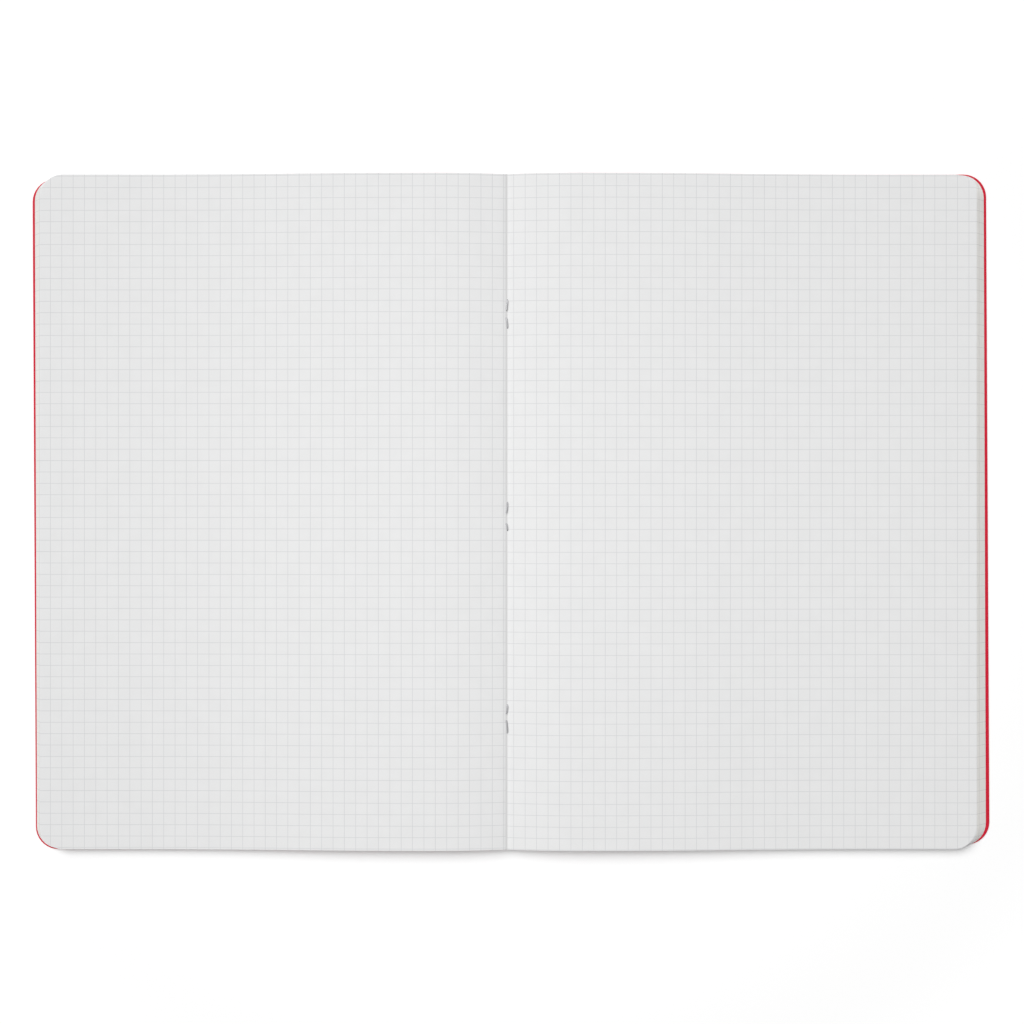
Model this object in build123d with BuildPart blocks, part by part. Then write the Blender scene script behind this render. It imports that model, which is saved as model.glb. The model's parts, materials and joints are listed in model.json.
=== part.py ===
from build123d import *

import os
from math import pi

# A stapled exercise book, lying open at its centre spread.
# X runs across the spread, Y up the page and Z up from the table. The origin is on the table, under the middle
# of the open cover. Leaf 1 on each side is half of the centre sheet, and the last leaf lies on the cover.

# Driving dimensions, in millimetres and degrees
page_height = 297.0
cover_width = 211.4  # from the middle of the open cover to its fore-edge
corner_radius = 10.0
sheet_count = 24
paper_thickness = 0.1
sheet_gap = 0.03  # air between two sheets that lie on each other
cover_thickness = 0.3
cover_overhang = 1.3  # how far the cover stands out past the outermost sheet
cover_lean = 2.0  # how far the fold lies to the left of the middle of the open cover
sheet_lean = 0.8  # how far the centre sheet's fold lies to the left of that sheet's middle
cover_skew = 0.3  # how far the open cover lies turned against the centre sheet

# The lie of the open pages: up from the fold to a crest, then down to where they lie flat
crest_reach = 32.0
crest_rise = 1.6
fall_reach = 130.0

# The folds, which the staples hold and the leaves turn about
fold_half_width = 0.9
turning_gap = 0.1  # between a fold and the leaf beside it
axis_clearance = 0.15  # the turning axis lies this far above the crest

# The staples
staple_count = 3
staple_pitch = 89.0
staple_drop = 2.0  # how far the row of staples lies below the middle of the page
staple_crown = 13.0
wire_diameter = 0.6
wire_bend_radius = 0.45
staple_offset = 0.4  # how far the staples stand to the right of the fold
clinch_gap = 3.4  # between the two clinched ends
clinch_skew = 0.3  # how far a clinched end strays to the left of its leg
leg_clearance = 0.1  # around a leg in its hole

# What follows from them
fold_x = -cover_lean
staple_x = fold_x + staple_offset
sheet_pitch = paper_thickness + sheet_gap
creep = pi / 2 * paper_thickness  # each sheet is trimmed this much wider than the one inside it
leaf_start = fold_half_width + turning_gap
cover_level = wire_diameter  # the cover's underside at the fold lies on the staples' crowns
cover_top = cover_level + cover_thickness
stack_top = cover_top + sheet_count * sheet_pitch
axis_height = stack_top + crest_rise + axis_clearance
flat_drop = cover_level  # from the fold down to where the pages lie flat
flat_reach = crest_reach + fall_reach
past_edge = 2 * cover_width  # beyond every fore-edge
leg_spread = staple_crown - wire_diameter
hole_radius = wire_diameter / 2 + leg_clearance
middle_row = (staple_count - 1) / 2
staple_rows = [staple_pitch * (row - middle_row) - staple_drop for row in range(staple_count)]
staple_names = {-1: "lower_staple", 0: "middle_staple", 1: "upper_staple"}
crown_height = wire_diameter / 2
clinch_height = stack_top + wire_diameter / 2

LEFT, RIGHT = -1, 1


def leaf_level(number):
    """The height of a leaf's underside at the fold."""
    return stack_top - number * sheet_pitch + sheet_gap


def depth_share(number):
    """How deep a leaf lies in the stack: 0 for the centre sheet and 1 for the cover."""
    return (number - 1) / sheet_count


def leaf_reach(side, number):
    """How far a leaf reaches from the fold to its fore-edge."""
    trimmed = cover_width - cover_overhang - (sheet_count - number) * creep
    return trimmed + side * (sheet_lean + (cover_lean - sheet_lean) * depth_share(number))


def page_line(side, level):
    """The lie of one page from across the fold to past its fore-edge, inside a BuildLine block."""
    near = (fold_x - side * fold_half_width, level)
    rise = (fold_x + side * fold_half_width, level)
    crest = (fold_x + side * crest_reach, level + crest_rise)
    flat = (fold_x + side * flat_reach, level - flat_drop)
    middle = ((crest[0] + flat[0]) / 2, (crest[1] + flat[1]) / 2)
    Line(near, rise)
    TangentArc(crest, rise, tangent=(-side, 0))
    TangentArc(crest, middle, tangent=(side, 0))
    TangentArc(flat, middle, tangent=(-side, 0))
    Line(flat, (fold_x + side * past_edge, flat[1]))


def page_section(side, level, thickness):
    """The section of one page with its fold, inside a BuildSketch block on Plane.XZ."""
    near = fold_x - side * fold_half_width
    far = fold_x + side * past_edge
    with BuildLine() as section:
        page_line(side, level)
        page_line(side, level + thickness)
        Line((near, level), (near, level + thickness))
        Line((far, level - flat_drop), (far, level - flat_drop + thickness))
    make_face(section.edges())


def page_outline(side, reach, skew):
    """A page from above, round at its outer corners and cut off beside the fold, inside a BuildSketch block."""
    with Locations(Location((fold_x, 0), skew)):
        RectangleRounded(2 * reach, page_height, corner_radius)
    with Locations((fold_x + side * (leaf_start + past_edge / 2), 0)):
        Rectangle(past_edge, 2 * page_height, mode=Mode.INTERSECT)


def fold_outline():
    """A fold from above, with the holes that the staples' legs made, inside a BuildSketch block."""
    with Locations((fold_x, 0)):
        Rectangle(2 * fold_half_width, page_height)
    with Locations(*[(staple_x, row_y + end * leg_spread / 2) for row_y in staple_rows for end in (-1, 1)]):
        Circle(hole_radius, mode=Mode.SUBTRACT)


os.makedirs("parts", exist_ok=True)

# The leaves: half a sheet each, from beside the fold to the fore-edge
for side, side_name in ((LEFT, "left"), (RIGHT, "right")):
    for number in range(1, sheet_count + 1):
        with BuildPart() as leaf:
            with BuildSketch(Plane.XZ):
                page_section(side, leaf_level(number), paper_thickness)
            extrude(amount=page_height, both=True)
            with BuildSketch(Plane.XY):
                page_outline(side, leaf_reach(side, number), cover_skew * depth_share(number))
            extrude(amount=axis_height, mode=Mode.INTERSECT)
        leaf.part.label = f"{side_name}_leaf_{number:02d}"
        export_step(leaf.part, f"parts/{leaf.part.label}.step")

# The cover's two halves, from beside the fold to the fore-edge: the front lies on the left
for side, name in ((LEFT, "front_cover"), (RIGHT, "back_cover")):
    with BuildPart() as cover:
        with BuildSketch(Plane.XZ):
            page_section(side, cover_level, cover_thickness)
        extrude(amount=page_height, both=True)
        with BuildSketch(Plane.XY):
            page_outline(side, cover_width + side * cover_lean, cover_skew)
        extrude(amount=axis_height, mode=Mode.INTERSECT)
    cover.part.label = name
    export_step(cover.part, f"parts/{name}.step")

# The cover's fold, between its two halves
with BuildPart() as cover_fold:
    with BuildSketch(Plane.XY.offset(cover_level)):
        fold_outline()
    extrude(amount=cover_thickness)
cover_fold.part.label = "cover_fold"
export_step(cover_fold.part, "parts/cover_fold.step")

# The folds of the sheets, one on another
with BuildPart() as sheet_folds:
    with BuildSketch(*[Plane.XY.offset(leaf_level(number)) for number in range(1, sheet_count + 1)]):
        fold_outline()
    extrude(amount=paper_thickness)
sheet_folds.part.label = "sheet_folds"
export_step(sheet_folds.part, "parts/sheet_folds.step")

# The staples: the crown outside the cover, the legs through the folds, the ends clinched on the centre sheet
for row, row_y in enumerate(staple_rows):
    name = staple_names.get(row - staple_count // 2, f"staple_{row + 1}")
    with BuildPart() as staple:
        with BuildLine() as wire:
            FilletPolyline(
                (staple_x - clinch_skew, row_y - clinch_gap / 2, clinch_height),
                (staple_x, row_y - leg_spread / 2, clinch_height),
                (staple_x, row_y - leg_spread / 2, crown_height),
                (staple_x, row_y + leg_spread / 2, crown_height),
                (staple_x, row_y + leg_spread / 2, clinch_height),
                (staple_x - clinch_skew, row_y + clinch_gap / 2, clinch_height),
                radius=wire_bend_radius,
            )
        with BuildSketch(Plane(origin=wire.line @ 0, z_dir=wire.line % 0)):
            Circle(wire_diameter / 2)
        sweep(path=wire.line)
    staple.part.label = name
    export_step(staple.part, f"parts/{name}.step")

print(f"turning axis at x {fold_x:.3f}, z {axis_height:.3f}; stack top at the fold {stack_top:.3f}")
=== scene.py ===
"""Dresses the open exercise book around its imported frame, in squared paper, red card and steel wire."""

import json
import logging
import math
from dataclasses import dataclass, field
from enum import Enum
from functools import cached_property

import bpy
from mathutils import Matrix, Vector, noise

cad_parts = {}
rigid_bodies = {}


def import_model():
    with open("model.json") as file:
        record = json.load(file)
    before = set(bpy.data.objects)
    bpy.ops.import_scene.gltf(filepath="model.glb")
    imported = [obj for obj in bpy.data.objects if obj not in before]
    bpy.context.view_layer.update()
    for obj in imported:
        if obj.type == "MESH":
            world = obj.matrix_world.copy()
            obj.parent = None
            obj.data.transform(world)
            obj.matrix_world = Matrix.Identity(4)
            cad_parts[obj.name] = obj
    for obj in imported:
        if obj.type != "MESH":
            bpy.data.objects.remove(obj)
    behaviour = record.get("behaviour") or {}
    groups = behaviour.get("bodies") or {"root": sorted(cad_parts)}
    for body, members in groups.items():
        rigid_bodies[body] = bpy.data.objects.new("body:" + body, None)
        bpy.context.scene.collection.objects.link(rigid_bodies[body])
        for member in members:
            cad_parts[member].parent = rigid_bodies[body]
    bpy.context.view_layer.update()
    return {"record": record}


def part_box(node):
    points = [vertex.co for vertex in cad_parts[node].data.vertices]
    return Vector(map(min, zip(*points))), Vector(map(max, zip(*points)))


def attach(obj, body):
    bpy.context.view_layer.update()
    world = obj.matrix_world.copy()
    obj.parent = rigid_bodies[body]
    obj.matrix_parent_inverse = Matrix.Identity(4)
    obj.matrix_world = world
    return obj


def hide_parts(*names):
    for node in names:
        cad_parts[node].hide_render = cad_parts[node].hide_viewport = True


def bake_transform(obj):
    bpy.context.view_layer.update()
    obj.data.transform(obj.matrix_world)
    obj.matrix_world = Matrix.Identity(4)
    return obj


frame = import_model()

log = logging.getLogger("exercise_book")

# Lengths are in metres. X runs across the spread, Y up the page and Z up from the table.
MM = 0.001

Colour = tuple[float, float, float]
Place = tuple[float, float, float]
Socket = bpy.types.NodeSocket

# A point of a sheet as it lies, and where that point is on the flat sheet
SheetPoint = tuple[Vector, Vector]

# Where an eased step starts and ends, and its value before and after
Step = tuple[float, float, float, float]

WHITE = (1.0, 1.0, 1.0, 1.0)


class Side(Enum):
    """The two halves of the open book, by the sign of X on each."""

    LEFT = -1
    RIGHT = 1

    @property
    def word(self) -> str:
        """The side's name as the nodes spell it."""
        return self.name.lower()


def smooth_share(value: float, start: float, end: float) -> float:
    """How far value has come from start to end, eased at both ends.

    Args:
        value: The value to place.
        start: Where the share is 0.
        end: Where the share is 1.

    Returns:
        A share from 0 to 1.
    """
    share = min(max((value - start) / (end - start), 0.0), 1.0)
    return share * share * (3 - 2 * share)


def sag(radius: float, run: float) -> float:
    """How far an arc falls from its tangent, a run away from where they touch."""
    return radius - math.sqrt(radius * radius - run * run)


def quarter_turn(steps: int) -> list[float]:
    """The angles of a quarter turn in even steps, from 0 on."""
    return [math.pi / 2 * step / steps for step in range(steps + 1)]


def stations(start: float, end: float, first_step: float, growth: float, widest: float) -> list[float]:
    """Places along a length, close together at its start and wider apart further on.

    Args:
        start: The first place.
        end: The last place.
        first_step: The first step, before the steps are fitted to the length.
        growth: How much longer each step is than the one before it.
        widest: The longest step.

    Returns:
        The places in order, from start to end.
    """
    places = [0.0]
    step = first_step
    while places[-1] < end - start:
        places.append(places[-1] + step)
        step = min(step * growth, widest)
    fit = (end - start) / places[-1]
    return [start + place * fit for place in places]


def new_object(name: str, data: bpy.types.ID) -> bpy.types.Object:
    """Makes an object of a mesh, a light or a camera, and links it to the scene.

    Args:
        name: The object's name.
        data: What the object shows.

    Returns:
        The new object.
    """
    made = bpy.data.objects.new(name, data)
    bpy.context.collection.objects.link(made)
    return made


def smooth_mesh(
    name: str, points: list[Vector], faces: list[list[int]], spots: list[Vector], sharp_edge: float
) -> bpy.types.Mesh:
    """Makes a mesh that is shaded smooth, apart from its sharp edges.

    Args:
        name: The mesh's name.
        points: The points.
        faces: The faces, as lists of point numbers.
        spots: Where each point lies on its flat sheet or along its wire, in metres, for the finish.
        sharp_edge: The angle past which an edge is sharp.

    Returns:
        The new mesh.
    """
    mesh = bpy.data.meshes.new(name)
    mesh.from_pydata(points, [], faces)
    layer = mesh.uv_layers.new(name="flat_place")
    layer.data.foreach_set("uv", [value for loop in mesh.loops for value in spots[loop.vertex_index].xy])
    for face in mesh.polygons:
        face.use_smooth = True
    mesh.set_sharp_from_angle(angle=sharp_edge)
    return mesh


@dataclass(frozen=True)
class PageLie:
    """The sizes that the cover, the sheets and their folds share, and how the open pages lie."""

    page_height: float = 297 * MM
    cover_width: float = 211.4 * MM
    corner_radius: float = 10 * MM
    sheet_count: int = 24
    paper: float = 0.1 * MM
    creep: float = 0.18 * MM
    cover_overhang: float = 1.1 * MM
    cover_lean: float = 2.0 * MM
    sheet_lean: float = 0.8 * MM
    outer_lean: float = 1.75 * MM
    cover_skew: float = math.radians(0.3)
    sheet_skew: float = math.radians(0.2)
    crest_reach: float = 32 * MM
    crest_rise: float = 1.6 * MM
    fall_reach: float = 130 * MM
    fold_reach: float = 1 * MM
    straight_reach: float = 60 * MM
    crease_depth: float = 0.2 * MM
    crease_width: float = 1.15 * MM
    wave_depth: float = 0.11 * MM
    wave_length: float = 95 * MM
    wave_squeeze: float = 1.4
    wave_seed: float = 0.37
    wave_start: float = 4 * MM
    wave_full: float = 30 * MM
    row_count: int = 27
    corner_steps: int = 9
    first_step: float = 0.35 * MM
    step_growth: float = 1.13
    widest_step: float = 7 * MM

    @cached_property
    def folds(self) -> tuple[Vector, Vector]:
        """The lowest and highest corners of the sheets' folds."""
        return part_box("sheet_folds")

    @cached_property
    def fold_x(self) -> float:
        """Where the folds lie across the spread."""
        low, high = self.folds
        return (low.x + high.x) / 2

    @cached_property
    def flat_start(self) -> float:
        """How far from the fold the pages stay level before they rise."""
        low, high = self.folds
        return (high.x - low.x) / 2

    @cached_property
    def flat_drop(self) -> float:
        """How far the pages fall from the fold to where they lie flat."""
        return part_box("cover_fold")[0].z

    def beside_fold(self, offset: float) -> Vector:
        """A point on the table, an offset across from the fold."""
        return Vector((self.fold_x + offset, 0, 0))

    def depth(self, number: int) -> float:
        """How deep a sheet lies in the stack: 0 for the centre sheet and 1 for the cover."""
        return (number - 1) / self.sheet_count

    def level(self, number: int) -> float:
        """The height of a sheet's underside at the fold.

        Args:
            number: The sheet's number, from 1 at the centre spread.

        Returns:
            The height over the table.
        """
        low, high = self.folds
        pitch = (high.z - low.z - self.paper) / (self.sheet_count - 1)
        return high.z - self.paper - (number - 1) * pitch

    def reach(self, side: Side, number: int) -> float:
        """How far a leaf reaches from the fold to its fore-edge.

        Args:
            side: The leaf's side.
            number: The leaf's number, from 1 at the centre spread.

        Returns:
            The reach.
        """
        trimmed = self.cover_width - self.cover_overhang - (self.sheet_count - number) * self.creep
        lean = self.sheet_lean + (self.outer_lean - self.sheet_lean) * self.depth(number)
        return trimmed + side.value * lean

    def rise(self, reach: float) -> float:
        """How high a page stands over its fold, a reach away from it.

        Args:
            reach: The distance from the fold, without a sign.

        Returns:
            The height, below zero where the page lies flat.
        """
        climb = self.crest_reach - self.flat_start
        climb_radius = (climb**2 + self.crest_rise**2) / (2 * self.crest_rise)
        half_run = self.fall_reach / 2
        half_fall = (self.crest_rise + self.flat_drop) / 2
        fall_radius = (half_run**2 + half_fall**2) / (2 * half_fall)
        flat_reach = self.crest_reach + self.fall_reach
        if reach <= self.flat_start:
            return 0.0
        if reach <= self.crest_reach:
            return self.crest_rise - sag(climb_radius, self.crest_reach - reach)
        if reach <= self.crest_reach + half_run:
            return self.crest_rise - sag(fall_radius, reach - self.crest_reach)
        if reach <= flat_reach:
            return sag(fall_radius, flat_reach - reach) - self.flat_drop
        return -self.flat_drop

    def turned(self, side: Side, place: float, row: float, skew: float) -> tuple[float, float]:
        """Where a point lies once its page is turned, with the page still straight along its fold.

        Args:
            side: The page's side.
            place: The column's distance from the fold.
            row: The place up the page, along the sheet.
            skew: How far the page lies turned.

        Returns:
            The point's X and Y.
        """
        near_fold = 1 - smooth_share(place, self.fold_reach, self.straight_reach)
        along = side.value * place + near_fold * row * math.tan(skew)
        x = self.fold_x + along * math.cos(skew) - row * math.sin(skew)
        y = along * math.sin(skew) + row * math.cos(skew)
        return x, y

    def relief(self, x: float, y: float, depth: float) -> float:
        """The height that a page's crease and slack add to its lie, which is never above zero.

        Args:
            x: The place across the spread.
            y: The place up the page.
            depth: How deep the page lies in the stack, from 0 to 1.

        Returns:
            The added height.
        """
        reach = abs(x - self.fold_x)
        crease = self.crease_depth * math.exp(-((reach / self.crease_width) ** 2))
        spot = Vector((x / self.wave_length, self.wave_squeeze * y / self.wave_length, self.wave_seed))
        slack = self.wave_depth * smooth_share(reach, self.wave_start, self.wave_full)
        wave = slack * (1 + noise.noise(spot)) / 2
        return -(crease + wave) * (1 - depth)

    def row_places(self, half_height: float) -> list[float]:
        """The places of a page's rows, from its foot to its head."""
        return [half_height * (2 * row / (self.row_count - 1) - 1) for row in range(self.row_count)]

    def column_places(self, start: float, reach: float) -> list[float]:
        """The places of a page's columns, close together beside the fold and round the corners.

        Args:
            start: The first column's distance from the fold.
            reach: The fore-edge's distance from the fold.

        Returns:
            The columns' distances from the fold.
        """
        corner = reach - self.corner_radius
        straight = stations(start, corner, self.first_step, self.step_growth, self.widest_step)
        turns = quarter_turn(self.corner_steps)[1:]
        return straight + [corner + self.corner_radius * math.sin(turn) for turn in turns]

    def half_height(self, place: float, reach: float) -> float:
        """Half a page's height at one column, which is less at its round corners.

        Args:
            place: The column's distance from the fold.
            reach: The fore-edge's distance from the fold.

        Returns:
            Half the height.
        """
        into = max(place - (reach - self.corner_radius), 0.0)
        return self.page_height / 2 - sag(self.corner_radius, min(into, self.corner_radius))


@dataclass
class ThinSheet:
    """A closed thin sheet of paper or card, laid down in columns of points on its underside."""

    name: str
    thickness: float
    columns: list[list[SheetPoint]] = field(default_factory=list)
    sharp_edge: float = math.radians(40)

    def at(self, column: int, row: int, top: bool) -> int:
        """The number of one point, where those of the upper side follow those of the underside."""
        rows = len(self.columns[0])
        return column * rows + row + (rows * len(self.columns) if top else 0)

    def broad_faces(self) -> list[list[int]]:
        """The faces of the upper side and the underside.

        Returns:
            The faces as lists of point numbers.
        """
        faces = []
        for column in range(len(self.columns) - 1):
            for row in range(len(self.columns[0]) - 1):
                ring = [(column, row), (column + 1, row), (column + 1, row + 1), (column, row + 1)]
                faces.append([self.at(*spot, True) for spot in ring])
                faces.append([self.at(*spot, False) for spot in reversed(ring)])
        return faces

    def edge_faces(self) -> list[list[int]]:
        """The faces of the cut edge, all the way round.

        Returns:
            The faces as lists of point numbers.
        """
        last_column, last_row = len(self.columns) - 1, len(self.columns[0]) - 1
        rim = [(column, 0) for column in range(last_column)]
        rim += [(last_column, row) for row in range(last_row)]
        rim += [(column, last_row) for column in range(last_column, 0, -1)]
        rim += [(0, row) for row in range(last_row, 0, -1)]
        return [
            [self.at(*spot, False), self.at(*after, False), self.at(*after, True), self.at(*spot, True)]
            for spot, after in zip(rim, rim[1:] + rim[:1])
        ]

    def build(self, surface: bpy.types.Material, edge: bpy.types.Material) -> bpy.types.Object:
        """Makes the sheet, with its cut edge in its second material.

        Args:
            surface: The finish of both sides.
            edge: The finish of the cut edge.

        Returns:
            The new mesh object.
        """
        broad_faces = self.broad_faces()
        faces = broad_faces + self.edge_faces()
        below = [point for column in self.columns for point, _ in column]
        spots = [spot for column in self.columns for _, spot in column]
        above = [point + Vector((0, 0, self.thickness)) for point in below]
        leftward = self.columns[1][0][0].x < self.columns[0][0][0].x
        if leftward:
            faces = [face[::-1] for face in faces]
        mesh = smooth_mesh(self.name, below + above, faces, spots + spots, self.sharp_edge)
        mesh.materials.append(surface)
        mesh.materials.append(edge)
        for face in mesh.polygons:
            face.material_index = 0 if face.index < len(broad_faces) else 1
        return new_object(self.name, mesh)


@dataclass(frozen=True)
class Grain:
    """A noise: how far apart its grains lie, and how finely they break up."""

    size: float
    detail: float = 2.0


@dataclass(frozen=True)
class Bump:
    """How strongly a grain shows in the light, and how deep it is."""

    strength: float
    depth: float


class Nodes:
    """A short way to write the nodes of a material or a world."""

    def __init__(self, owner: bpy.types.Material | bpy.types.World) -> None:
        """Clears the owner's nodes and adds its output.

        Args:
            owner: A new material or a new world.
        """
        owner.use_nodes = True
        self.owner = owner
        self.tree = owner.node_tree
        self.tree.nodes.clear()
        self.output = self.add("OutputWorld" if isinstance(owner, bpy.types.World) else "OutputMaterial")

    def add(self, kind: str, settings: dict[str, str] | None = None, **inputs: object) -> bpy.types.Node:
        """Adds a node, and links or sets its inputs.

        Args:
            kind: The node's type without its common prefix.
            settings: The node's own settings.
            inputs: Sockets to link and values to set, by input name with _ for a space, or by i and a number.

        Returns:
            The new node.
        """
        node = self.tree.nodes.new("ShaderNode" + kind)
        for setting, value in (settings or {}).items():
            setattr(node, setting, value)
        for name, value in inputs.items():
            numbered = name[0] == "i" and name[1:].isdigit()
            socket = node.inputs[int(name[1:]) if numbered else name.replace("_", " ")]
            if isinstance(value, Socket):
                self.tree.links.new(value, socket)
            else:
                socket.default_value = value
        return node

    def math(self, operation: str, *values: object) -> Socket:
        """Adds a Math node and returns its result."""
        inputs = {f"i{number}": value for number, value in enumerate(values)}
        return self.add("Math", {"operation": operation}, **inputs).outputs[0]

    def step(self, value: Socket, start: float, end: float, low: float, high: float) -> Socket:
        """Adds an eased step from low to high.

        Args:
            value: The socket to read.
            start: Where the step begins.
            end: Where the step ends.
            low: The result before the step.
            high: The result after the step.

        Returns:
            The step's result.
        """
        settings = {"interpolation_type": "SMOOTHSTEP"}
        node = self.add("MapRange", settings, i0=value, i1=start, i2=end, i3=low, i4=high)
        return node.outputs[0]

    def noise(self, place: Socket, grain: Grain) -> Socket:
        """Adds the noise of a grain and returns its value."""
        return self.add("TexNoise", Vector=place, Scale=1 / grain.size, Detail=grain.detail).outputs[0]

    def mix(self, blend: str, share: Socket | float, first: object, second: object) -> Socket:
        """Mixes two colours.

        Args:
            blend: Blender's name for the kind of mix.
            share: How much of the second colour comes in.
            first: The first colour.
            second: The second colour.

        Returns:
            The mixed colour.
        """
        settings = {"data_type": "RGBA", "blend_type": blend}
        return self.add("Mix", settings, i0=share, i6=first, i7=second).outputs[2]

    def bump(self, height: Socket, bump: Bump) -> Socket:
        """Adds the bump of a grain and returns the surface's direction."""
        return self.add("Bump", Strength=bump.strength, Distance=bump.depth, Height=height).outputs[0]

    def seen_rays(self) -> Socket:
        """Adds a mask that is 1 for rays from the camera, and for what metal or glass shows.

        Returns:
            The mask.
        """
        rays = self.add("LightPath").outputs
        mirrored = self.math("MAXIMUM", rays["Is Glossy Ray"], rays["Is Transmission Ray"])
        return self.math("MAXIMUM", rays["Is Camera Ray"], mirrored)

    def finish(self, shader: bpy.types.Node) -> bpy.types.Material | bpy.types.World:
        """Links the shader to the output and returns the finished material or world."""
        self.tree.links.new(shader.outputs[0], self.output.inputs[0])
        return self.owner


def opaque(colour: Colour) -> tuple[float, float, float, float]:
    """A colour with its alpha."""
    return (*colour, 1.0)


@dataclass(frozen=True)
class Squares:
    """The printed grid of one side's pages: where a line and a row lie, and how far apart they are."""

    first_line: float
    line_pitch: float
    first_row: float
    row_pitch: float


SQUARES = {
    Side.LEFT: Squares(first_line=1.2 * MM, line_pitch=4.988 * MM, first_row=2.54 * MM, row_pitch=5.008 * MM),
    Side.RIGHT: Squares(first_line=3.2 * MM, line_pitch=5.01 * MM, first_row=2.36 * MM, row_pitch=5.018 * MM),
}


@dataclass(frozen=True)
class PaperFinish:
    """White writing paper with printed squares, with painted warm shade past the fore-edge of the centre
    sheet and a painted shade line along the fold.
    """

    name: str
    squares: Squares
    fore_edge: float
    line_width: float = 0.22 * MM
    line_softness: float = 0.05 * MM
    paper: Colour = (0.815, 0.817, 0.818)
    line: Colour = (0.65, 0.655, 0.665)
    # Painted shade: a darker grey line along the fold, standing in for the shade in the gutter.
    crease: Colour = (0.63, 0.63, 0.63)
    crease_width: float = 0.8 * MM
    # Painted warm shade: a warmer, slightly darker tint on the lower leaves' strips past the centre sheet's
    # fore-edge.
    worn: Colour = (0.955, 0.935, 0.90)
    worn_width: float = 0.6 * MM
    ink: Grain = Grain(0.5 * MM)
    ink_step: Step = (0.3, 0.6, 0.82, 1.0)
    fibre: Grain = Grain(0.35 * MM, 4.0)
    fibre_step: Step = (0.3, 0.7, -0.012, 0.012)
    fibre_bump: Bump = Bump(0.25, 0.02 * MM)
    cloud: Grain = Grain(9 * MM, 3.0)
    cloud_step: Step = (0.3, 0.7, 0.984, 1.0)
    roughness: float = 0.85
    specular: float = 0.25

    def line_mask(self, nodes: Nodes, place: Socket, first: float, pitch: float) -> Socket:
        """Where the printed lines of one direction lie.

        Args:
            nodes: The material's nodes.
            place: The place across those lines, in metres.
            first: Where one of the lines lies.
            pitch: From one line to the next.

        Returns:
            A mask that is 1 on a line.
        """
        away = nodes.math("PINGPONG", nodes.math("SUBTRACT", place, first), pitch / 2)
        half = self.line_width / 2
        return nodes.step(away, half - self.line_softness, half + self.line_softness, 1.0, 0.0)

    def printed(self, nodes: Nodes, place: Socket, across: Socket, along: Socket) -> Socket:
        """The paper with its printed squares.

        Args:
            nodes: The material's nodes.
            place: The place on the flat sheet.
            across: The place across the page.
            along: The place up the page.

        Returns:
            The colour.
        """
        lines = self.line_mask(nodes, across, self.squares.first_line, self.squares.line_pitch)
        rows = self.line_mask(nodes, along, self.squares.first_row, self.squares.row_pitch)
        patchy = nodes.step(nodes.noise(place, self.ink), *self.ink_step)
        ink = nodes.math("MULTIPLY", nodes.math("MAXIMUM", lines, rows), patchy)
        return nodes.mix("MIX", ink, opaque(self.paper), opaque(self.line))

    def build(self) -> bpy.types.Material:
        """Makes the material: the squares, the painted warm shade past the fore-edge, fibres and clouds, and
        the painted shade line along the crease.

        Returns:
            The material.
        """
        nodes = Nodes(bpy.data.materials.new(self.name))
        place = nodes.add("TexCoord").outputs["UV"]
        across, along, _ = nodes.add("SeparateXYZ", Vector=place).outputs
        fibre = nodes.noise(place, self.fibre)
        cloud = nodes.noise(place, self.cloud)
        # Painted warm shade: the paper turns warmer and a little darker past the centre sheet's fore-edge,
        # over the lower leaves' strips.
        wear_and_shade_mask = nodes.step(across, self.fore_edge, self.fore_edge + self.worn_width, 0.0, 1.0)
        edge_shaded = nodes.mix("MULTIPLY", wear_and_shade_mask, self.printed(nodes, place, across, along), opaque(self.worn))
        grain = nodes.math("ADD", nodes.step(fibre, *self.fibre_step), nodes.step(cloud, *self.cloud_step))
        toned = nodes.mix("MULTIPLY", 1.0, edge_shaded, grain)
        # Painted shade: the paper darkens towards the fold line, standing in for the gutter's shade.
        fold = nodes.step(nodes.math("ABSOLUTE", across), 0.0, self.crease_width, 1.0, 0.0)
        shader = nodes.add(
            "BsdfPrincipled",
            Base_Color=nodes.mix("MIX", fold, toned, opaque(self.crease)),
            Roughness=self.roughness,
            Specular_IOR_Level=self.specular,
            Normal=nodes.bump(fibre, self.fibre_bump),
        )
        return nodes.finish(shader)


@dataclass(frozen=True)
class CardFinish:
    """Red cover card, satin, with a faint mottle and a line of wear along its fold."""

    name: str = "cover_card"
    red: Colour = (0.62, 0.010, 0.036)
    deep_red: Colour = (0.56, 0.008, 0.030)
    worn_red: Colour = (0.72, 0.10, 0.12)
    worn_width: float = 0.7 * MM
    worn_step: Step = (0.35, 0.65, 0.1, 0.5)
    mottle: Grain = Grain(1.6 * MM, 4.0)
    mottle_step: Step = (0.3, 0.7, 0.0, 1.0)
    grain: Grain = Grain(0.25 * MM, 3.0)
    grain_bump: Bump = Bump(0.3, 0.03 * MM)
    roughness_step: Step = (0.2, 0.8, 0.54, 0.66)
    specular: float = 0.25

    def build(self) -> bpy.types.Material:
        """Makes the material: mottled card, paler in patches where it wears along its fold.

        Returns:
            The material.
        """
        nodes = Nodes(bpy.data.materials.new(self.name))
        place = nodes.add("TexCoord").outputs["UV"]
        across = nodes.add("SeparateXYZ", Vector=place).outputs[0]
        mottle = nodes.noise(place, self.mottle)
        shade = nodes.step(mottle, *self.mottle_step)
        card = nodes.mix("MIX", shade, opaque(self.red), opaque(self.deep_red))
        wear_and_shade_mask = nodes.step(nodes.math("ABSOLUTE", across), 0.0, self.worn_width, 1.0, 0.0)
        patchy = nodes.math("MULTIPLY", wear_and_shade_mask, nodes.step(mottle, *self.worn_step))
        shader = nodes.add(
            "BsdfPrincipled",
            Base_Color=nodes.mix("MIX", patchy, card, opaque(self.worn_red)),
            Roughness=nodes.step(mottle, *self.roughness_step),
            Specular_IOR_Level=self.specular,
            Normal=nodes.bump(nodes.noise(place, self.grain), self.grain_bump),
        )
        return nodes.finish(shader)


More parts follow.
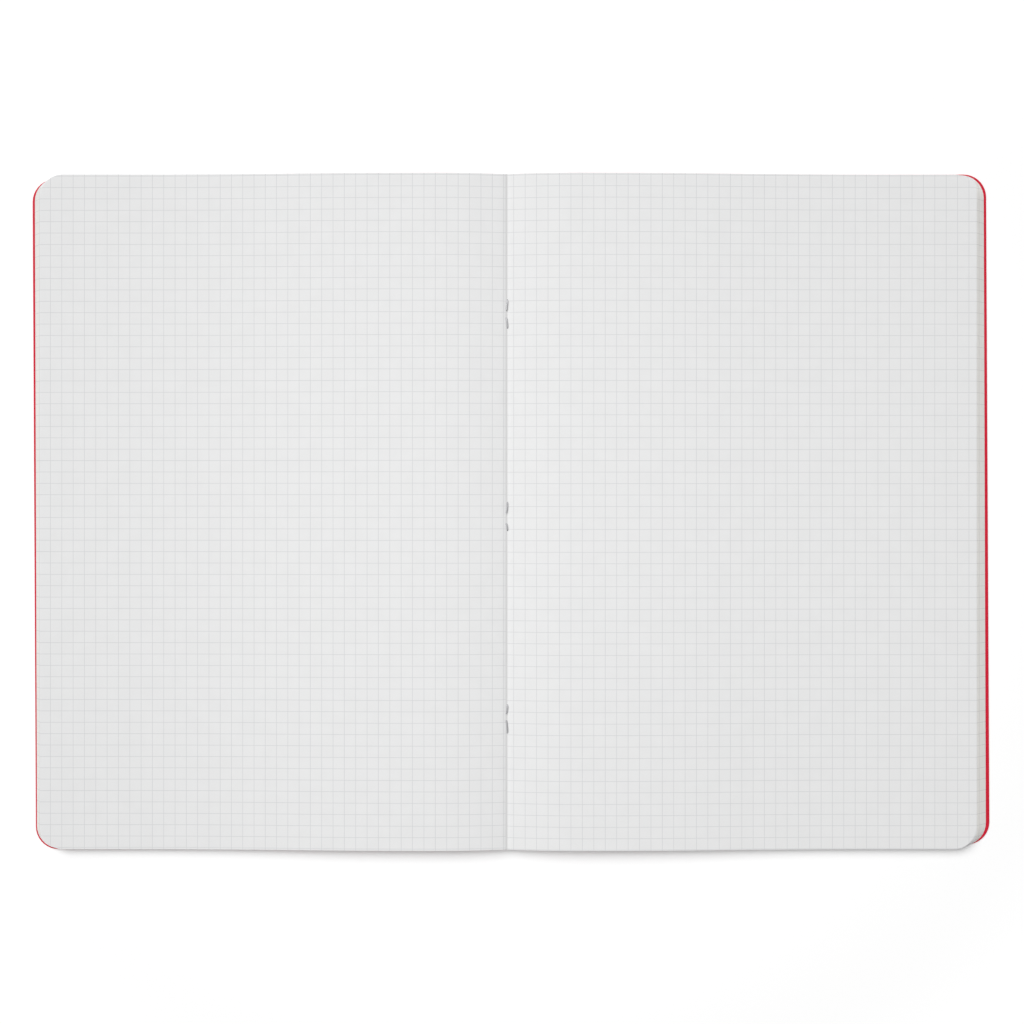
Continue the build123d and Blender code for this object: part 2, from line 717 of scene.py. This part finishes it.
@dataclass(frozen=True)
class CutEdgeFinish:
    """The cut edge of paper or card, with the fibres of its core."""

    name: str
    colour: Colour
    fibre: Grain = Grain(0.3 * MM, 3.0)
    fibre_step: Step = (0.3, 0.7, 0.9, 1.05)
    roughness: float = 0.9
    specular: float = 0.2

    def build(self) -> bpy.types.Material:
        """Makes the material.

        Returns:
            The material.
        """
        nodes = Nodes(bpy.data.materials.new(self.name))
        place = nodes.add("TexCoord").outputs["UV"]
        fibre = nodes.step(nodes.noise(place, self.fibre), *self.fibre_step)
        shader = nodes.add(
            "BsdfPrincipled",
            Base_Color=nodes.mix("MULTIPLY", 1.0, opaque(self.colour), fibre),
            Roughness=self.roughness,
            Specular_IOR_Level=self.specular,
        )
        return nodes.finish(shader)


@dataclass(frozen=True)
class WireFinish:
    """Drawn steel wire with fine streaks along it."""

    name: str = "staple_wire"
    steel: Colour = (0.40, 0.40, 0.41)
    dark_steel: Colour = (0.29, 0.29, 0.30)
    streak: Grain = Grain(0.12 * MM, 3.0)
    streak_stretch: float = 0.06
    streak_step: Step = (0.3, 0.7, 0.0, 1.0)
    streak_bump: Bump = Bump(0.2, 0.01 * MM)
    roughness_step: Step = (0.25, 0.75, 0.39, 0.56)

    def build(self) -> bpy.types.Material:
        """Makes the material.

        Returns:
            The material.
        """
        nodes = Nodes(bpy.data.materials.new(self.name))
        place = nodes.add("TexCoord").outputs["UV"]
        drawn = nodes.add("Mapping", Vector=place, Scale=(self.streak_stretch, 1.0, 1.0)).outputs[0]
        streak = nodes.noise(drawn, self.streak)
        shade = nodes.step(streak, *self.streak_step)
        shader = nodes.add(
            "BsdfPrincipled",
            Base_Color=nodes.mix("MIX", shade, opaque(self.steel), opaque(self.dark_steel)),
            Metallic=1.0,
            Roughness=nodes.step(streak, *self.roughness_step),
            Normal=nodes.bump(streak, self.streak_bump),
        )
        return nodes.finish(shader)


@dataclass
class Book:
    """What every sub-assembly of the book needs: the lie of its pages and its finishes."""

    lie: PageLie
    paper: dict[Side, bpy.types.Material]
    paper_edge: bpy.types.Material
    card: bpy.types.Material
    card_edge: bpy.types.Material
    wire: bpy.types.Material


@dataclass
class Leaf:
    """One leaf, half of a folded sheet, from beside its fold to the fore-edge."""

    book: Book
    side: Side
    number: int
    bend_reach: float = 3 * MM

    @property
    def node(self) -> str:
        """The leaf's node in the frame."""
        return f"{self.side.word}_leaf_{self.number:02d}"

    def point(self, place: float, row: float) -> SheetPoint:
        """One point of the leaf's underside.

        Args:
            place: The column's distance from the fold.
            row: The place up the page, along the sheet.

        Returns:
            The point as it lies, and where it is on the printed sheet.
        """
        lie = self.book.lie
        depth = lie.depth(self.number)
        x, y = lie.turned(self.side, place, row, lie.sheet_skew * depth)
        away = abs(x - lie.fold_x)
        height = lie.level(self.number) + lie.rise(away) + lie.relief(x, y, depth)
        return Vector((x, y, height)), Vector((away, y, 0))

    def build(self, parent_body: str, body: str) -> bpy.types.Object:
        """Makes the leaf as it lies open.

        Args:
            parent_body: The body that the leaf's body turns on; not used.
            body: The leaf's own body; not used.

        Returns:
            The leaf.
        """
        lie = self.book.lie
        reach = lie.reach(self.side, self.number)
        sheet = ThinSheet(f"paper_{self.node}", lie.paper)
        for place in lie.column_places(lie.fold_reach, reach):
            rows = lie.row_places(lie.half_height(place, reach))
            sheet.columns.append([self.point(place, row) for row in rows])
        leaf = sheet.build(self.book.paper[self.side], self.book.paper_edge)
        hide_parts(self.node)
        start = lie.beside_fold(self.side.value * lie.fold_reach)
        end = lie.beside_fold(self.side.value * self.bend_reach)
        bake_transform(leaf)
        return leaf


@dataclass
class FoldedMiddle:
    """The middle of every sheet, across its fold, in one piece."""

    book: Book
    column_count: int = 25

    def point(self, number: int, offset: float, row: float) -> SheetPoint:
        """One point of a sheet's underside beside its fold.

        Args:
            number: The sheet's number, from 1 at the centre spread.
            offset: The place across from the fold.
            row: The place up the page, along the sheet.

        Returns:
            The point as it lies, and where it is on the printed sheet.
        """
        lie = self.book.lie
        depth = lie.depth(number)
        skew = lie.sheet_skew * depth
        x = lie.fold_x + offset
        y = offset * math.tan(skew) + row / math.cos(skew)
        height = lie.level(number) + lie.rise(abs(offset)) + lie.relief(x, y, depth)
        return Vector((x, y, height)), Vector((abs(offset), row, 0))

    def strip(self, number: int) -> bpy.types.Object:
        """Makes the middle of one sheet, with each side's finish on its half.

        Args:
            number: The sheet's number, from 1 at the centre spread.

        Returns:
            The strip.
        """
        lie = self.book.lie
        sheet = ThinSheet(f"sheet_middle_{number:02d}", lie.paper)
        rows = lie.row_places(lie.page_height / 2)
        for column in range(self.column_count):
            offset = lie.fold_reach * (2 * column / (self.column_count - 1) - 1)
            sheet.columns.append([self.point(number, offset, row) for row in rows])
        strip = sheet.build(self.book.paper[Side.LEFT], self.book.paper_edge)
        strip.data.materials.append(self.book.paper[Side.RIGHT])
        for face in strip.data.polygons:
            if face.material_index == 0 and face.center.x > lie.fold_x:
                face.material_index = 2
        return strip

    def build(self) -> bpy.types.Object:
        """Makes the folded middles of all the sheets and joins them.

        Returns:
            The folded middles in one piece.
        """
        lie = self.book.lie
        strips = [self.strip(number) for number in range(1, lie.sheet_count + 1)]
        middle = strips[0]
        with bpy.context.temp_override(active_object=middle, selected_editable_objects=strips):
            bpy.ops.object.join()
        middle.name = "folded_sheets"
        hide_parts("sheet_folds")
        start, end = lie.beside_fold(lie.fold_reach), lie.beside_fold(-lie.fold_reach)
        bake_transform(middle)
        return middle


@dataclass
class Cover:
    """The folded card cover, whose two halves close over the sheets."""

    book: Book
    bend_reach: float = 4 * MM

    def point(self, side: Side, place: float, row: float, level: float) -> SheetPoint:
        """One point of the cover's underside.

        Args:
            side: The cover's half.
            place: The column's distance from the fold.
            row: The place up the cover, along the card.
            level: The height of the cover's underside at the fold.

        Returns:
            The point as it lies, and where it is on the flat card.
        """
        lie = self.book.lie
        x, y = lie.turned(side, place, row, lie.cover_skew)
        height = level + lie.rise(abs(x - lie.fold_x))
        return Vector((x, y, height)), Vector((side.value * place, row, 0))

    def build(self) -> bpy.types.Object:
        """Makes the cover as one card across its fold.

        Returns:
            The cover.
        """
        lie = self.book.lie
        low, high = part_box("cover_fold")
        reach = {side: lie.cover_width + side.value * lie.cover_lean for side in Side}
        left, right = (lie.column_places(0.0, reach[side]) for side in Side)
        columns = [(Side.LEFT, place) for place in reversed(left)]
        columns += [(Side.RIGHT, place) for place in right[1:]]
        sheet = ThinSheet("card_cover", high.z - low.z)
        for side, place in columns:
            rows = lie.row_places(lie.half_height(place, reach[side]))
            sheet.columns.append([self.point(side, place, row, low.z) for row in rows])
        cover = sheet.build(self.book.card, self.book.card_edge)
        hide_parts("front_cover", "back_cover", "cover_fold")
        start, end = lie.beside_fold(self.bend_reach), lie.beside_fold(-self.bend_reach)
        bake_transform(cover)
        return cover


@dataclass
class Staple:
    """One wire staple: its crown outside the cover, its legs through the folds and its clinched ends."""

    book: Book
    node: str
    upper_tip: float = 1.7 * MM
    lower_tip: float = 1.7 * MM
    bend_radius: float = 0.55 * MM
    clinch_press: float = 0.2 * MM
    clinch_skew: float = 0.45 * MM
    skew_power: float = 1.5
    clinch_arch: float = 0.16 * MM
    arch_fade: float = 0.4
    tip_slant: float = 0.22 * MM
    sides: int = 14
    bend_steps: int = 8
    run_steps: int = 12
    sharp_edge: float = math.radians(50)

    @cached_property
    def corners(self) -> tuple[Vector, Vector]:
        """The lowest and highest corners of the staple's node."""
        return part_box(self.node)

    @cached_property
    def wire_radius(self) -> float:
        """Half the wire's thickness, from how far its crown lies under the cover."""
        return self.book.lie.flat_drop / 2

    def half_path(self, tip: float) -> list[Vector]:
        """The wire's middle line from the crown's middle to one end.

        Args:
            tip: How far that end stays from the staple's middle.

        Returns:
            The line's points, as offsets from the staple's middle on the table.
        """
        low, high = self.corners
        radius, bend = self.wire_radius, self.bend_radius
        half = (high.y - low.y) / 2 - radius
        top = high.z - radius - self.clinch_press
        straight = half - bend
        path = [Vector((0, straight * step / self.run_steps, radius)) for step in range(self.run_steps)]
        for turn in quarter_turn(self.bend_steps):
            path.append(Vector((0, straight + bend * math.sin(turn), radius + bend * (1 - math.cos(turn)))))
        for turn in quarter_turn(self.bend_steps):
            path.append(Vector((0, straight + bend * math.cos(turn), top - bend * (1 - math.sin(turn)))))
        for step in range(1, self.run_steps + 1):
            share = step / self.run_steps
            arch = self.clinch_arch * math.sin(math.pi * share) * (1 - self.arch_fade * share)
            stray = -self.clinch_skew * share**self.skew_power
            path.append(Vector((stray, straight - (straight - tip) * share, top + arch)))
        return path

    def path(self) -> list[Vector]:
        """The wire's middle line from its lower end to its upper end.

        Returns:
            The line's points.
        """
        low, high = self.corners
        middle = Vector((high.x - self.wire_radius, (low.y + high.y) / 2, 0))
        upper = self.half_path(self.upper_tip)
        lower = [Vector((point.x, -point.y, point.z)) for point in self.half_path(self.lower_tip)]
        return [middle + point for point in lower[:0:-1] + upper]

    def rings(self, path: list[Vector]) -> list[SheetPoint]:
        """The points round the wire.

        Args:
            path: The wire's middle line.

        Returns:
            The points ring by ring, each with its place along and round the wire.
        """
        points = []
        length = 0.0
        last = len(path) - 1
        for number, point in enumerate(path):
            before, after = path[max(number - 1, 0)], path[min(number + 1, last)]
            tangent = (after - before).normalized()
            across = (Vector((1, 0, 0)) - tangent * tangent.x).normalized()
            upward = tangent.cross(across)
            length += (point - before).length
            end = (number == last) - (number == 0)
            for side in range(self.sides):
                angle = 2 * math.pi * side / self.sides
                ring = across * math.cos(angle) + upward * math.sin(angle)
                slant = tangent * (end * self.tip_slant * ring.z)
                spot = Vector((length, self.wire_radius * angle, 0))
                points.append((point + ring * self.wire_radius + slant, spot))
        return points

    def faces(self, rings: int) -> list[list[int]]:
        """The faces round the wire and over its two cut ends.

        Args:
            rings: How many rings of points the wire has.

        Returns:
            The faces as lists of point numbers.
        """
        faces = []
        for ring in range(rings - 1):
            near, far = ring * self.sides, (ring + 1) * self.sides
            for side in range(self.sides):
                after = (side + 1) % self.sides
                faces.append([near + side, near + after, far + after, far + side])
        last = (rings - 1) * self.sides
        faces.append(list(range(self.sides))[::-1])
        faces.append([last + side for side in range(self.sides)])
        return faces

    def build(self) -> bpy.types.Object:
        """Makes the staple by sweeping a round section along its wire.

        Returns:
            The staple.
        """
        path = self.path()
        rings = self.rings(path)
        points = [point for point, _ in rings]
        spots = [spot for _, spot in rings]
        mesh = smooth_mesh(self.node, points, self.faces(len(path)), spots, self.sharp_edge)
        mesh.materials.append(self.book.wire)
        staple = new_object(f"wire_{self.node}", mesh)
        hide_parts(self.node)
        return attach(staple, "spine")


@dataclass
class Studio:
    """The pale floor, the soft light from the top left and the camera over the book."""

    camera_height: float = 420 * MM
    view_width: float = 454.4 * MM
    view_x: float = 0.44 * MM
    view_y: float = -0.07 * MM
    clip_start: float = 10 * MM
    light_from: Place = (-0.72, 0.88, 1.0)
    light_spread: float = math.radians(36)
    light_strength: float = 2.4
    lamp_place: Place = (-0.03, 0.03, 0.5)
    lamp_size: float = 0.4
    lamp_watts: float = 0.8
    sky: float = 0.24
    floor_tone: Colour = (0.98, 0.98, 0.98)
    floor_lift: float = 0.09
    far_lift: float = 0.35
    lift_start: float = 0.25
    lift_end: float = 0.45
    floor_size: float = 8.0
    floor_drop: float = 0.05 * MM

    def build(self) -> None:
        """Makes the camera, the lights, the sky and the floor."""
        self.add_camera()
        self.add_lights()
        self.add_sky()
        self.add_floor()
        bpy.context.scene.view_settings.view_transform = "Standard"

    def add_camera(self) -> None:
        """Hangs the camera straight over the book."""
        data = bpy.data.cameras.new("over_the_book")
        data.lens = data.sensor_width * self.camera_height / self.view_width
        data.clip_start = self.clip_start
        camera = new_object("over_the_book", data)
        camera.location = (self.view_x, self.view_y, self.camera_height)
        bpy.context.scene.camera = camera

    def add_lights(self) -> None:
        """Adds the soft, even light from the top left and the lamp over the book."""
        window = bpy.data.lights.new("window_light", "SUN")
        window.energy = self.light_strength
        window.angle = self.light_spread
        over = bpy.data.lights.new("lamp_over_the_book", "AREA")
        over.energy = self.lamp_watts
        over.size = self.lamp_size
        for data, place in ((window, self.light_from), (over, self.lamp_place)):
            light = new_object(data.name, data)
            light.location = place
            light.rotation_euler = (-Vector(place)).to_track_quat("-Z", "Y").to_euler()

    def add_sky(self) -> None:
        """Sets an even sky, which is white where it is seen."""
        nodes = Nodes(bpy.data.worlds.new("even_sky"))
        light = nodes.add("Background", Color=WHITE, Strength=self.sky)
        white = nodes.add("Background", Color=WHITE, Strength=1.0)
        seen = nodes.add("MixShader", i0=nodes.seen_rays(), i1=light.outputs[0], i2=white.outputs[0])
        bpy.context.scene.world = nodes.finish(seen)

    def add_floor(self) -> None:
        """Lays the white floor, which keeps the book's shadow."""
        half = self.floor_size / 2
        corners = [(-half, -half), (half, -half), (half, half), (-half, half)]
        mesh = bpy.data.meshes.new("floor")
        mesh.from_pydata([(x, y, -self.floor_drop) for x, y in corners], [], [(0, 1, 2, 3)])
        nodes = Nodes(bpy.data.materials.new("white_floor"))
        matt = nodes.add("BsdfDiffuse", Color=opaque(self.floor_tone))
        place = nodes.add("TexCoord").outputs["Object"]
        away = nodes.add("VectorMath", {"operation": "LENGTH"}, Vector=place).outputs["Value"]
        lift = nodes.step(away, self.lift_start, self.lift_end, self.floor_lift, self.far_lift)
        glow = nodes.add("Emission", Strength=nodes.math("MULTIPLY", nodes.seen_rays(), lift))
        mesh.materials.append(nodes.finish(nodes.add("AddShader", i0=matt.outputs[0], i1=glow.outputs[0])))
        new_object("floor", mesh)


def leaf_bodies() -> dict[str, tuple[str, str]]:
    """Looks up the bodies of the leaves in the frame's record.

    Returns:
        The parent body and the body of every leaf, by the leaf's node.
    """
    behaviour = frame["record"]["behaviour"]
    parents = {joint["child"]: joint["parent"] for joint in behaviour["joints"]}
    return {
        node: (parents[body], body)
        for body, members in behaviour["bodies"].items()
        for node in members
        if "_leaf_" in node
    }


def report(piece: bpy.types.Object) -> None:
    """Logs one finished piece."""
    log.info("%s: %d faces", piece.name, len(piece.data.polygons))


def main() -> None:
    """Builds the book and its studio."""
    logging.basicConfig(level=logging.INFO, format="%(name)s: %(message)s")
    lie = PageLie()
    paper = {
        side: PaperFinish(f"squared_paper_{side.word}", SQUARES[side], lie.reach(side, 1)).build()
        for side in Side
    }
    book = Book(
        lie=lie,
        paper=paper,
        paper_edge=CutEdgeFinish("paper_edge", (0.78, 0.78, 0.78)).build(),
        card=CardFinish().build(),
        card_edge=CutEdgeFinish("card_edge", (0.66, 0.03, 0.05)).build(),
        wire=WireFinish().build(),
    )
    Studio().build()
    report(Cover(book).build())
    report(FoldedMiddle(book).build())
    bodies = leaf_bodies()
    for side in Side:
        for number in range(1, lie.sheet_count + 1):
            leaf = Leaf(book, side, number)
            report(leaf.build(*bodies[leaf.node]))
    report(Staple(book, "upper_staple").build())
    report(Staple(book, "middle_staple", upper_tip=1.6 * MM, lower_tip=3.2 * MM).build())
    report(Staple(book, "lower_staple", upper_tip=2.5 * MM, lower_tip=0.7 * MM).build())


if __name__ == "__main__":
    main()
